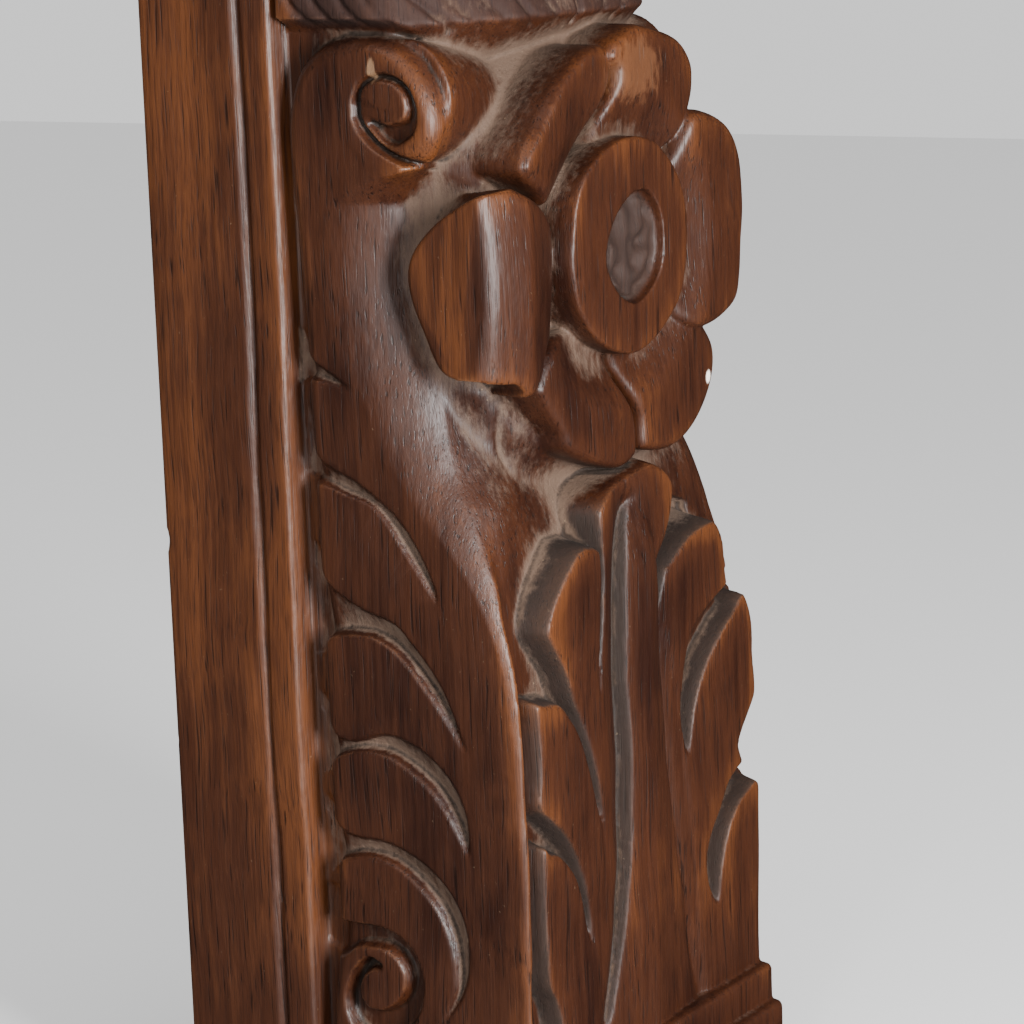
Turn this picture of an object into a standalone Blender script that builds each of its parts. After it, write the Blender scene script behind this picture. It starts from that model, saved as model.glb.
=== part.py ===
"""Carved wooden corbel bracket: one block of hardwood, fixed by its flat back to a wall."""

import math

import bmesh
import bpy
from mathutils import Matrix, Vector

# The block: the wall face is y = 0, the front is -Y, x is across and z is up
WIDTH = 0.260
PLAIN_DEPTH = 0.066
GROOVE_WIDTH = 0.009
GROOVE_DEPTH = 0.004
STRIP_DEPTH = 0.0205
CHANNEL_WIDTH = 0.0175
CHANNEL_DEPTH = 0.014
CARVED_DEPTH = 0.132
RELIEF = 0.012
SKIN = 0.0015

# Heights of the base, of the carved part and of the head block that carries the load
BASE_HEIGHT = 0.065
LEDGE_HEIGHT = 0.022
CARVED_HEIGHT = 0.675
HEAD_HEIGHT = 0.070
LEDGE_OUT = 0.008
BASE_OUT = 0.015
HEAD_OUT = 0.012
EDGE_ROUND = 0.004

# Rosette on the front
ROSETTE_SHARE = 0.667
ROSETTE_RADIUS = 0.130
PETALS = 6
HAND_TURN = 1.6
PETAL_FILL = 0.95
PETAL_SPREAD = 0.16
PETAL_SQUARE = 0.78
PETAL_BACK = 0.048
PETAL_FRONT = 0.122
DISC_RADIUS = 0.061
DISC_FRONT = 0.133
DISC_SIDES = 40
BOSS_FRONT = 0.106
BOSS_REACH = 0.80
PIT_RADIUS = 0.031
PIT_DEPTH = 0.008
KNOB_RADIUS = 0.024

# Upper volute, with its roll tapering in towards the rosette, and the lower spiral
VOLUTE_Y = 0.462
VOLUTE_Z = 0.795
VOLUTE_RADIUS = 0.035
ROLL_LENGTH = 0.066
SPIRAL_Y = 0.265
SPIRAL_Z = 0.071
SPIRAL_RADIUS = 0.026
SPIRAL_BAND = 0.006
EYE_RADIUS = 0.015

WALL = 0.0
BACK_OF_CARVING = PLAIN_DEPTH + STRIP_DEPTH + CHANNEL_WIDTH
LEDGE_TOP = -(BASE_HEIGHT + CARVED_HEIGHT + HEAD_HEIGHT) / 2 + BASE_HEIGHT
HEAD_UNDER = LEDGE_TOP + CARVED_HEIGHT
TOP = HEAD_UNDER + HEAD_HEIGHT
BOTTOM = LEDGE_TOP - BASE_HEIGHT
HALF = WIDTH / 2
OVERLAP = 0.006
WELD = 0.00001
ROUND_SIDES = 24
CURVE_STEPS = 8

# Side outline of the flank, as shares of the carved depth and the carved height
FLANK_LINE = (
    (0.00, -0.02), (0.00, 0.30), (0.00, 0.60), (0.01, 0.785), (0.04, 0.822), (0.12, 0.845),
    (0.27, 0.855), (0.46, 0.847), (0.62, 0.832), (0.71, 0.797), (0.66, 0.760), (0.52, 0.742),
    (0.52, 0.692), (0.56, 0.644), (0.65, 0.582), (0.72, 0.504), (0.83, 0.440), (0.93, 0.378),
    (0.985, 0.314), (1.00, 0.240), (1.00, 0.120), (1.00, -0.02),
)
# Ground of the front, behind the carving: share of the height, then of the depth
GROUND_LINE = (
    (-0.03, 0.90), (0.10, 0.90), (0.30, 0.885), (0.40, 0.80), (0.50, 0.66), (0.60, 0.56),
    (0.70, 0.48), (0.78, 0.45), (0.84, 0.42), (0.90, 0.42), (0.96, 0.50), (1.03, 0.60),
)
# Head leaf from its hanging rim up to the head: share of the height, front as a share of the
# depth, and how square its corners are
HEAD_LEAF = (
    (0.844, 0.560, 0.0), (0.852, 0.690, 0.0), (0.862, 0.745, 0.0), (0.885, 0.735, 0.0), (0.925, 0.700, 0.1),
    (0.955, 0.720, 0.3), (0.985, 0.810, 0.6), (1.010, 0.900, 0.8), (1.030, 0.970, 0.9), (1.050, 0.985, 1.0),
)
# Its plan from the left side round the front to the middle: share of half width, share of the front
HEAD_PLAN = ((-1.00, -0.06), (-1.00, 0.62), (-0.85, 0.76), (-0.69, 0.88), (-0.46, 0.97), (0.00, 1.00))
# Notches between the leaves of the flank: where each opens, its crest, its tip, its opening
NOTCHES = (
    (0.580, 0.590, 0.20, 0.572, 0.024),
    (0.485, 0.500, 0.63, 0.396, 0.050),
    (0.364, 0.392, 0.72, 0.281, 0.046),
    (0.262, 0.296, 0.71, 0.196, 0.038),
    (0.172, 0.198, 0.66, 0.090, 0.036),
)
# Leaf lobes of the front: spine from tip to foot as (share of half width, share of height),
# then half width and rise as shares
CENTRE_LOBE = (((0.00, 0.484), (0.00, 0.430), (0.00, 0.370), (0.00, 0.300)), 0.36, 0.070)
SPIKE = (((0.00, 0.470), (0.00, 0.330), (0.00, 0.180), (0.00, -0.020)), 0.22, 0.118)
SIDE_LOBES = (
    (((0.52, 0.440), (0.50, 0.330), (0.38, 0.180), (0.28, -0.010)), 0.310, 0.074),
    (((0.76, 0.325), (0.70, 0.235), (0.54, 0.110), (0.42, -0.012)), 0.245, 0.092),
    (((0.80, 0.206), (0.76, 0.130), (0.68, 0.060), (0.60, -0.015)), 0.215, 0.104),
)
LOBE_TAPER = 0.38
LOBE_OPENING = 0.34
LOBE_SECTION = (
    (-1.00, -0.50), (-1.00, 0.35), (-0.72, 0.82), (0.00, 1.00), (0.72, 0.82), (1.00, 0.35), (1.00, -0.50),
)
SPIKE_SECTION = (
    (-1.00, -0.50), (-1.00, 0.50), (-0.45, 0.92), (0.00, 1.00), (0.45, 0.92), (1.00, 0.50), (1.00, -0.50),
)
SPIKE_WIDTHS = (
    (0.00, 0.06), (0.08, 0.45), (0.22, 0.72), (0.45, 0.95), (0.62, 1.10), (0.80, 1.50), (1.00, 2.10),
)
SPIKE_SWAY = 0.012
# Rounding of the flank's edge: share of the relief below the face, pull-in as a share of the depth
FLANK_EDGE = ((1.00, 0.000), (0.45, 0.000), (0.12, 0.020), (0.00, 0.050))
# The roll behind each volute: share of its length, share of the volute's radius
ROLL_TAPER = ((0.00, 0.86), (0.08, 1.00), (0.35, 0.92), (0.70, 0.66), (1.00, 0.22))
# A petal from its back to its face: share of its thickness, share of its size
PETAL_BULGE = ((0.00, 0.62), (0.35, 0.86), (0.70, 1.00), (0.90, 0.90), (1.00, 0.55))
PETAL_MIDDLE = 0.655
PETAL_SIDES = 20
# Turns of the spiral grooves in degrees: first angle, step and number of steps
SPIRAL_TURN = (200, -15, 18)
VOLUTE_TURN = (20, -15, 14)


def side_point(depth_share, height_share):
    """y and z of a point given as shares of the carved depth and the carved height."""
    return -(BACK_OF_CARVING + depth_share * CARVED_DEPTH), LEDGE_TOP + height_share * CARVED_HEIGHT


def smooth_line(stations, steps):
    """Points of a smooth open curve through the stations."""
    ends = [stations[0], *stations, stations[-1]]
    points = []
    for a, b, c, d in zip(ends, ends[1:], ends[2:], ends[3:]):
        for step in range(steps):
            t = step / steps
            points.append(tuple(
                0.5 * (2 * q + (r - p) * t + (2 * p - 5 * q + 4 * r - s) * t * t
                       + (3 * q - p - 3 * r + s) * t ** 3)
                for p, q, r, s in zip(a, b, c, d)
            ))
    points.append(tuple(stations[-1]))
    return points


def share_at(stations, share):
    """Second value of the stations at a first value, along straight runs."""
    for (a, u), (b, v) in zip(stations, stations[1:]):
        if share <= b:
            return u + (v - u) * max(0.0, min(1.0, (share - a) / (b - a)))
    return stations[-1][1]


def bezier(a, b, c, d, steps):
    points = []
    for step in range(steps + 1):
        t = step / steps
        points.append(tuple(
            p * (1 - t) ** 3 + 3 * q * t * (1 - t) ** 2 + 3 * r * t * t * (1 - t) + s * t ** 3
            for p, q, r, s in zip(a, b, c, d)
        ))
    return points


for old in list(bpy.data.objects):
    bpy.data.objects.remove(old, do_unlink=True)

collection = bpy.data.collections.new("wooden_corbel_bracket")
forms = bpy.data.collections.new("forms_joined_to_the_block")
cutters = bpy.data.collections.new("cutters")
for item in (collection, forms, cutters):
    bpy.context.scene.collection.children.link(item)
wood = bpy.data.materials.new("dark_hardwood")
wood.use_nodes = True
wood.node_tree.nodes["Principled BSDF"].inputs["Base Color"].default_value = (0.11, 0.035, 0.018, 1)
wood.node_tree.nodes["Principled BSDF"].inputs["Roughness"].default_value = 0.42


def add(name, mesh, where):
    """An object of a finished bmesh, with its faces turned out."""
    bmesh.ops.recalc_face_normals(mesh, faces=mesh.faces)
    data = bpy.data.meshes.new(name)
    mesh.to_mesh(data)
    mesh.free()
    data.materials.append(wood)
    made = bpy.data.objects.new(name, data)
    where.objects.link(made)
    if where is not collection:
        made.hide_render = True
        made.display_type = "WIRE"
    return made


def prism(name, outline, start, end, axis, where):
    """A straight solid on an outline: along Z the outline is x, y; along X it is y, z."""
    mesh = bmesh.new()
    lift = (lambda p, h: (p[0], p[1], h)) if axis == "Z" else (lambda p, h: (h, p[0], p[1]))
    face = mesh.faces.new([mesh.verts.new(lift(p, start)) for p in outline])
    swept = bmesh.ops.extrude_face_region(mesh, geom=[face])["geom"]
    way = Vector(lift((0, 0), end - start))
    bmesh.ops.translate(mesh, vec=way, verts=[v for v in swept if isinstance(v, bmesh.types.BMVert)])
    return add(name, mesh, where)


def loft(name, rings, where):
    """A closed solid through rings of as many points each, with flat ends."""
    mesh = bmesh.new()
    rows = [[mesh.verts.new(p) for p in ring] for ring in rings]
    count = len(rows[0])
    for low, high in zip(rows, rows[1:]):
        for i in range(count):
            j = (i + 1) % count
            mesh.faces.new((low[i], low[j], high[j], high[i]))
    mesh.faces.new(rows[0][::-1])
    mesh.faces.new(rows[-1])
    return add(name, mesh, where)


def rounded_box(name, low, high, where):
    """A box with its long edges eased, as a plane leaves them."""
    mesh = bmesh.new()
    size = [b - a for a, b in zip(low, high)]
    middle = [(a + b) / 2 for a, b in zip(low, high)]
    bmesh.ops.create_cube(mesh, size=1.0, matrix=Matrix.LocRotScale(middle, None, size))
    front = [e for e in mesh.edges if all(v.co.y < middle[1] for v in e.verts)]
    bmesh.ops.bevel(mesh, geom=front, offset=EDGE_ROUND, segments=2, profile=0.5, affect="EDGES")
    return add(name, mesh, where)


# Plain back part with its V groove, flat strip and the deep channel beside the carving
half_outline = [
    (HALF, WALL),
    (HALF, -PLAIN_DEPTH + GROOVE_WIDTH / 2),
    (HALF - GROOVE_DEPTH, -PLAIN_DEPTH),
    (HALF, -PLAIN_DEPTH - GROOVE_WIDTH / 2),
    (HALF, -PLAIN_DEPTH - STRIP_DEPTH),
    (HALF - CHANNEL_DEPTH, -PLAIN_DEPTH - STRIP_DEPTH - CHANNEL_WIDTH / 4),
    (HALF - CHANNEL_DEPTH, -BACK_OF_CARVING - CHANNEL_WIDTH),
]
block_outline = half_outline + [(-x, y) for x, y in reversed(half_outline)]
corbel = prism("corbel", block_outline, BOTTOM, TOP, "Z", collection)

# Core of the carved part: the ground that all the carving stands on
front_line = [side_point(v, w) for w, v in smooth_line(GROUND_LINE, 3)]
core_outline = front_line + [(-BACK_OF_CARVING + OVERLAP, z) for _, z in (front_line[-1], front_line[0])]
prism("core", core_outline, -HALF + RELIEF, HALF - RELIEF, "X", forms)

# Base ledges and the plain head block, cut flat where the corbel meets the beam above
front_y = side_point(1.0, 0.0)[0]
rounded_box("ledge", (-HALF, front_y - LEDGE_OUT, LEDGE_TOP - LEDGE_HEIGHT - OVERLAP),
            (HALF, -BACK_OF_CARVING + OVERLAP, LEDGE_TOP), forms)
rounded_box("base", (-HALF, front_y - BASE_OUT, BOTTOM),
            (HALF, -BACK_OF_CARVING + OVERLAP, LEDGE_TOP - LEDGE_HEIGHT), forms)
rounded_box("head", (-HALF, front_y - HEAD_OUT, HEAD_UNDER + HEAD_HEIGHT / 3),
            (HALF, -BACK_OF_CARVING + OVERLAP, TOP), forms)

# Head leaf: the veined band that hangs over the volutes and flares out under the head block
plan = list(HEAD_PLAN) + [(-u, v) for u, v in reversed(HEAD_PLAN[:-1])]
rings = []
for w, front, square in HEAD_LEAF:
    ring = []
    for u, v in plan:
        share = v + (1.0 - v) * square if v > 0 else v
        y, z = side_point(front * share, w)
        ring.append((u * (HALF - SKIN), y, z))
    rings.append(ring)
loft("head_leaf", rings, forms)

for side in (-1, 1):
    # Flank: one S-shaped body, thinner towards its rounded edges
    line = smooth_line(FLANK_LINE, 2)
    rings = []
    for below, pull in FLANK_EDGE:
        out = HALF - SKIN - below * RELIEF
        if below == 1.0:
            out -= OVERLAP
        ring = []
        for i, (v, w) in enumerate(line):
            before, after = line[max(i - 1, 0)], line[min(i + 1, len(line) - 1)]
            run = Vector((
                (after[0] - before[0]) * CARVED_DEPTH, (after[1] - before[1]) * CARVED_HEIGHT
            )).normalized()
            y, z = side_point(v, w)
            edge = pull * CARVED_DEPTH if v > 0.02 else 0.0
            ring.append((side * out, y - run.y * edge, z - run.x * edge))
        rings.append(ring)
    loft("flank", rings, forms)

    # Volute: the rolled end of the flank, tapering in towards the rosette
    y, z = side_point(VOLUTE_Y, VOLUTE_Z)
    rings = []
    for inward, radius in ROLL_TAPER:
        turn = [2 * math.pi * i / ROUND_SIDES for i in range(ROUND_SIDES)]
        rings.append([
            (side * (HALF - SKIN / 2 - inward * ROLL_LENGTH),
             y + radius * VOLUTE_RADIUS * math.cos(a), z + radius * VOLUTE_RADIUS * math.sin(a))
            for a in turn
        ])
    loft("roll", rings, forms)


def lobe(name, spine, half_width, rise, side):
    """A leaf lobe of the front: round at its tip, arched across and sunk in the ground."""
    rings = []
    line = smooth_line(spine, 4)
    for i, (u, w) in enumerate(line):
        t = i / (len(line) - 1)
        opening = math.sqrt(max(0.03, 1 - (1 - min(1.0, t / LOBE_OPENING)) ** 2))
        width = half_width * opening * (1.0 - LOBE_TAPER * t) * HALF
        height = rise * (0.55 + 0.45 * min(1.0, t / 0.2)) * (1.0 - 0.3 * t)
        ground = share_at(GROUND_LINE, w)
        ring = []
        for a, h in LOBE_SECTION:
            y, z = side_point(ground + height * h, w)
            ring.append((side * u * HALF + a * width, y, z))
        rings.append(ring)
    return loft(name, rings, forms)


for spine, half_width, rise in SIDE_LOBES:
    for side in (-1, 1):
        lobe("side_lobe", spine, half_width, rise, side)
lobe("centre_lobe", *CENTRE_LOBE, 1)

# Central spike: it widens down to the foot, with a blunt ridge
spine, half_width, rise = SPIKE
rings = []
for t, wide in SPIKE_WIDTHS:
    w = spine[0][1] + (spine[-1][1] - spine[0][1]) * t
    ring = []
    for a, h in SPIKE_SECTION:
        y, z = side_point(share_at(GROUND_LINE, w) + rise * h, w)
        ring.append(((a * wide * half_width + SPIKE_SWAY * math.sin(9 * t)) * HALF, y, z))
    rings.append(ring)
loft("spike", rings, forms)

# Rosette: six deep rounded petals round a flat disc with a rough knob in its pit
rosette_z = side_point(0.0, ROSETTE_SHARE)[1]
petal_side = HALF - SKIN / 2
for i in range(PETALS):
    angle = 2 * math.pi * i / PETALS + math.radians(HAND_TURN * math.sin(2.3 * i + 0.6))
    outward = Vector((math.cos(angle), 0, math.sin(angle)))
    along = Vector((-math.sin(angle), 0, math.cos(angle)))
    middle = PETAL_MIDDLE * ROSETTE_RADIUS
    length = ROSETTE_RADIUS - middle
    half_width = PETAL_FILL * middle * math.tan(math.pi / PETALS)
    rings = []
    for depth, size in PETAL_BULGE:
        y = -(BACK_OF_CARVING + PETAL_BACK + (PETAL_FRONT - PETAL_BACK) * depth)
        ring = []
        for k in range(PETAL_SIDES):
            a = 2 * math.pi * (k + 0.2 + 0.1 * i) / PETAL_SIDES
            near, far = (math.copysign(abs(f(a)) ** PETAL_SQUARE, f(a)) for f in (math.cos, math.sin))
            spread = half_width * (1 + PETAL_SPREAD * near)
            p = outward * (middle + size * length * near) + along * (size * spread * far)
            ring.append((max(-petal_side, min(petal_side, p.x)), y, rosette_z + p.z))
        rings.append(ring)
    loft("petal", rings, forms)


def turned(name, profile, sides, where):
    """A round form about the rosette's axis, through (radius, distance from the carving's back)."""
    rings = []
    for radius, out in profile:
        ring = []
        for k in range(sides):
            a = 2 * math.pi * (k + 0.3) / sides
            x = max(-BOSS_REACH * HALF, min(BOSS_REACH * HALF, radius * math.cos(a)))
            ring.append((x, -(BACK_OF_CARVING + out), rosette_z + radius * math.sin(a)))
        rings.append(ring)
    return loft(name, rings, where)


# Boss under the petals, which stands out of the hollow between the flanks
turned("boss", ((1.22 * ROSETTE_RADIUS, PETAL_BACK - 2 * OVERLAP), (1.06 * ROSETTE_RADIUS, 0.6 * BOSS_FRONT),
                (0.90 * ROSETTE_RADIUS, BOSS_FRONT)), ROUND_SIDES, forms)
turned("disc", ((0.9 * DISC_RADIUS, PETAL_BACK), (DISC_RADIUS, DISC_FRONT - EDGE_ROUND),
                (DISC_RADIUS - EDGE_ROUND, DISC_FRONT)), DISC_SIDES, forms)
turned("pit", ((PIT_RADIUS - PIT_DEPTH / 2, DISC_FRONT - PIT_DEPTH), (PIT_RADIUS, DISC_FRONT + OVERLAP)),
       ROUND_SIDES, cutters)

# Notches between the flank's leaves, and the grooves of the spirals, on both sides
for side in (-1, 1):
    for opens, crest, tip_v, tip_w, opening in NOTCHES:
        start = -0.14
        low = bezier((start, opens), (0.35 * tip_v, crest + 0.012), (0.90 * tip_v, crest), (tip_v, tip_w),
                     CURVE_STEPS)
        high = bezier((start, opens + opening), (0.12, crest + 0.4 * opening),
                      (0.98 * tip_v, crest + 0.35 * opening), (tip_v + 0.01, tip_w), CURVE_STEPS)
        outline = [side_point(v, w) for v, w in low + high[::-1]]
        prism("notch", outline, side * (HALF - 0.8 * RELIEF), side * (HALF + OVERLAP), "X", cutters)
    y, z = side_point(SPIRAL_Y, SPIRAL_Z)
    turns = []
    for radius, way in ((SPIRAL_RADIUS, 1), (SPIRAL_RADIUS - SPIRAL_BAND, -1)):
        row = []
        for k in range(SPIRAL_TURN[2] + 1):
            a = math.radians(SPIRAL_TURN[0] + SPIRAL_TURN[1] * k)
            reach = radius * (1 - 0.012 * k)
            row.append((y - reach * math.cos(a), z + reach * math.sin(a)))
        turns += row[::way]
    prism("spiral_groove", turns, side * (HALF - 0.6 * RELIEF), side * (HALF + OVERLAP), "X", cutters)
    y, z = side_point(VOLUTE_Y, VOLUTE_Z)
    turns = []
    for radius, way in ((EYE_RADIUS + SPIRAL_BAND, 1), (EYE_RADIUS, -1)):
        row = []
        for k in range(VOLUTE_TURN[2] + 1):
            a = math.radians(VOLUTE_TURN[0] + VOLUTE_TURN[1] * k)
            reach = radius if way < 0 else radius * (1 - 0.010 * k)
            row.append((y - reach * math.cos(a), z + reach * math.sin(a)))
        turns += row[::way]
    prism("volute_hollow", turns, side * (HALF - 0.6 * RELIEF), side * (HALF + OVERLAP), "X", cutters)

# Rough knob standing in the pit of the disc
knob_profile = ((KNOB_RADIUS, DISC_FRONT - PIT_DEPTH - OVERLAP), (KNOB_RADIUS, DISC_FRONT - PIT_DEPTH / 2),
                (0.8 * KNOB_RADIUS, DISC_FRONT - PIT_DEPTH / 8))
knob = turned("knob", knob_profile, 12, forms)


def cut_or_join(body, tool, operation):
    """One Boolean step on the body, kept as plain mesh so that the next step starts clean."""
    step = body.modifiers.new(operation.lower(), "BOOLEAN")
    step.operation = operation
    step.solver = "EXACT"
    step.object = tool
    bpy.context.view_layer.update()
    done = bpy.data.meshes.new_from_object(body.evaluated_get(bpy.context.evaluated_depsgraph_get()))
    body.modifiers.clear()
    body.data = done
    mesh = bmesh.new()
    mesh.from_mesh(done)
    bmesh.ops.remove_doubles(mesh, verts=mesh.verts, dist=WELD)
    bmesh.ops.dissolve_degenerate(mesh, edges=mesh.edges, dist=WELD)
    mesh.to_mesh(done)
    mesh.free()


# The block with its forms joined and its cuts made, as one solid
forms.hide_render = True
cutters.hide_render = True
for form in sorted(forms.objects, key=lambda item: item.name):
    if form is not knob:
        cut_or_join(corbel, form, "UNION")
for cutter in sorted(cutters.objects, key=lambda item: item.name):
    cut_or_join(corbel, cutter, "DIFFERENCE")
cut_or_join(corbel, knob, "UNION")
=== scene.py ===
import math

import bpy
import numpy as np
from mathutils import Matrix, Vector


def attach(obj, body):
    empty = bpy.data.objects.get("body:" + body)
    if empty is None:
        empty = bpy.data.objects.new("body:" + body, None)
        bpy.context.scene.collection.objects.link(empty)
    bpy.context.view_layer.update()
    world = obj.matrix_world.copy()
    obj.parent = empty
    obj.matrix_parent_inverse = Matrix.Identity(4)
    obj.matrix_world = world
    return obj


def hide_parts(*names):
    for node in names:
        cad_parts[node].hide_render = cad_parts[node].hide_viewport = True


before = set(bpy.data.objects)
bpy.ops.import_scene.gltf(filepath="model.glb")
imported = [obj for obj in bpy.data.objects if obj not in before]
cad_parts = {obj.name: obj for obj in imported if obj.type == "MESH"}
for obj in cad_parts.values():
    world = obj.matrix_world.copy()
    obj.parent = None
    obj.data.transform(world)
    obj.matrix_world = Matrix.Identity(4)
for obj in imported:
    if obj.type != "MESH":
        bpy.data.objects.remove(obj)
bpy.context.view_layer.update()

# The baulk. One piece of dense dark hardwood, sawn square and planed at the
# back, with a flat board left along the wall side, a scored line, a narrow
# strip and a sunk channel before the carving starts. Sizes are millimetres.
HALF_WIDTH = 130.0
HALF_HEIGHT = 405.0
BOARD_DEPTH = 66.0
STRIP_END = 87.0
CARVING_START = 90.0
CHANNEL_SINK = 14.0
MARGIN = 4.9
CELL = 1.4

across = np.arange(-HALF_WIDTH - MARGIN, HALF_WIDTH + 5.0, CELL)
deep = np.arange(-MARGIN, 256.0, CELL)
high = np.arange(-HALF_HEIGHT - MARGIN, HALF_HEIGHT + 5.0, CELL)
X = across[:, None, None].astype(np.float32)
D = deep[None, :, None].astype(np.float32)
Z = high[None, None, :].astype(np.float32)
flank_deep, flank_high = np.meshgrid(deep, high, indexing="ij")
front_across, front_high = np.meshgrid(across, high, indexing="ij")


def ease(value):
    value = np.clip(value, 0.0, 1.0)
    return value * value * (3.0 - 2.0 * value)


def curve_through(points, closed=False, pieces=7):
    """A smooth line through given points, as many short straight lengths."""
    points = np.array(points, float)
    count = len(points)
    if closed:
        rows = [points[(i + k) % count] for i in range(count) for k in (-1, 0, 1, 2)]
    else:
        ends = np.vstack([2 * points[0] - points[1], points, 2 * points[-1] - points[-2]])
        rows = [ends[i + k] for i in range(count - 1) for k in (0, 1, 2, 3)]
    rows = np.array(rows).reshape(-1, 4, points.shape[1])
    t = (np.arange(pieces) / pieces)[None, :, None]
    a, b, c, d = (rows[:, k][:, None, :] for k in range(4))
    line = 0.5 * (2 * b + (c - a) * t + (2 * a - 5 * b + 4 * c - d) * t ** 2
                  + (3 * b - a - 3 * c + d) * t ** 3)
    line = line.reshape(-1, points.shape[1])
    return line if closed else np.vstack([line, points[-1]])


def nearest(line, first, second, closed=False):
    """Distance to a line, share along it and side of it, over a flat grid."""
    starts = line[:, :2]
    ends = np.roll(starts, -1, axis=0)
    if not closed:
        starts, ends = starts[:-1], ends[:-1]
    best = np.full(first.shape, 1e9)
    share = np.zeros(first.shape)
    side = np.zeros(first.shape)
    for i, (start, end) in enumerate(zip(starts, ends)):
        run = end - start
        length = max(run @ run, 1e-9)
        away_a, away_b = first - start[0], second - start[1]
        t = np.clip((away_a * run[0] + away_b * run[1]) / length, 0.0, 1.0)
        gap = np.hypot(away_a - t * run[0], away_b - t * run[1])
        closer = gap < best
        best = np.where(closer, gap, best)
        share = np.where(closer, (i + t) / len(starts), share)
        side = np.where(closer, run[0] * away_b - run[1] * away_a, side)
    return best, share, side


def within(line, first, second):
    """Which points of a flat grid a closed line goes round."""
    hit = np.zeros(first.shape, bool)
    ends = np.roll(line, -1, axis=0)
    for (a0, b0), (a1, b1) in zip(line[:, :2], ends[:, :2]):
        if b0 == b1:
            continue
        crosses = (b0 > second) != (b1 > second)
        hit ^= crosses & (first < a0 + (second - b0) * (a1 - a0) / (b1 - b0))
    return hit


def inside_by(points, first, second, pieces=7):
    """How far inside a smooth closed outline each point lies, minus outside."""
    line = curve_through(points, closed=True, pieces=pieces)
    gap = nearest(line, first, second, closed=True)[0]
    return np.where(within(line, first, second), gap, -gap)


def unevenness(seed, wave, amount, lines=(across, deep, high)):
    """Smooth random swells, as the hand leaves them, over the whole block."""
    dice = np.random.default_rng(seed)
    sheets = []
    for line in lines:
        place = (line - line[0]) / wave + 1.0
        first = np.floor(place).astype(int)
        t = place - first
        weights = np.zeros((len(line), first.max() + 3))
        row = np.arange(len(line))
        weights[row, first - 1] = (1 - t) ** 3 / 6
        weights[row, first] = (3 * t ** 3 - 6 * t ** 2 + 4) / 6
        weights[row, first + 1] = (-3 * t ** 3 + 3 * t ** 2 + 3 * t + 1) / 6
        weights[row, first + 2] = t ** 3 / 6
        sheets.append(weights)
    values = dice.normal(size=[w.shape[1] for w in sheets])
    for w in sheets:
        values = np.tensordot(values, w, axes=(0, 1))
    return (values * amount * 2.6).astype(np.float32)


def meld(first, second, blend):
    """Joins two bodies with a small fillet of the given size where they meet."""
    near = np.maximum(blend - np.abs(first - second), 0.0) / blend
    return np.minimum(first, second) - near * near * blend * 0.25


def trim(first, second, blend):
    """Keeps what lies in both bodies, with the edge between them rubbed round."""
    near = np.maximum(blend - np.abs(first - second), 0.0) / blend
    return np.maximum(first, second) + near * near * blend * 0.25


# The carved flanks. A thick stem rises from the foot, turns over into a scroll
# and is cut into five leaf lobes by notches that open on the channel and curl
# forwards and down; a small scroll fills the foot. Both sides are cut alike.
STEM = [(104, -420), (104, -250), (103, -60), (100, 60), (97, 120), (94, 160), (94, 185), (98, 205),
        (106, 220), (122, 231), (147, 234), (169, 229), (184, 216), (193, 199), (194, 182), (186, 167),
        (176, 160), (178, 120), (186, 80), (206, 20), (230, -30), (262, -90), (270, -200),
        (270, -420)]
NOTCHES = [
    # edge of the lobe above, edge of the lobe below, greatest depth
    ([(90, 76), (98, 67), (107, 60), (118, 54), (132, 46)],
     [(90, 46), (98, 49), (110, 50), (132, 46)], 8.0),
    ([(96, 34), (104, 11), (117, 1), (132, -5), (146, -13), (159, -23), (171, -38), (181, -56),
      (187, -73)],
     [(94, -5), (113, -8), (126, -12), (144, -18), (155, -28), (164, -40), (175, -55), (187, -73)], 8.0),
    ([(94, -42), (105, -57), (117, -68), (134, -77), (154, -83), (166, -94), (183, -115), (199, -150)],
     [(96, -108), (103, -99), (114, -92), (134, -90), (147, -93), (160, -101), (178, -120), (191, -138),
      (199, -150)], 9.0),
    ([(94, -128), (106, -143), (114, -151), (126, -152), (143, -147), (156, -148), (172, -155),
      (188, -170), (197, -187), (199, -208)],
     [(96, -176), (104, -167), (115, -160), (129, -156), (146, -157), (162, -164), (176, -174),
      (187, -187), (194, -199), (199, -208)], 9.0),
    ([(94, -188), (106, -200), (116, -206), (125, -208), (140, -208), (156, -212), (172, -220),
      (186, -234), (194, -252), (195, -273), (190, -291), (179, -307)],
     [(96, -234), (105, -225), (112, -221), (125, -217), (138, -217), (150, -220), (162, -227),
      (175, -239), (183, -254), (187, -269), (187, -289), (179, -307)], 9.0),
]
SMALL_SCROLL = [(92, -258, 15), (104, -268, 12), (117, -266, 6.5), (130, -264.5, 5.5), (143, -266, 5),
                (153, -273, 5), (158, -284, 5), (157, -296, 5.5), (150, -308, 7), (138, -316, 8),
                (124, -316, 8), (117, -306, 5.5), (117, -296, 3), (121, -287, 2.5), (128, -281, 2.8),
                (135, -281.5, 1)]
LARGE_SCROLL = [(190, 160, 2.0), (180, 166, 1.8), (167, 170, 1.6), (153, 178, 1.5), (144, 189, 1.4),
                (143, 199, 1.4), (148, 209, 1.5), (157, 213, 1.5), (167, 212, 1.5), (176, 206, 1.7),
                (179.5, 195, 2.4), (175.5, 186, 4.2), (163, 182.5, 5.0), (151, 189, 1.2)]


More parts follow.
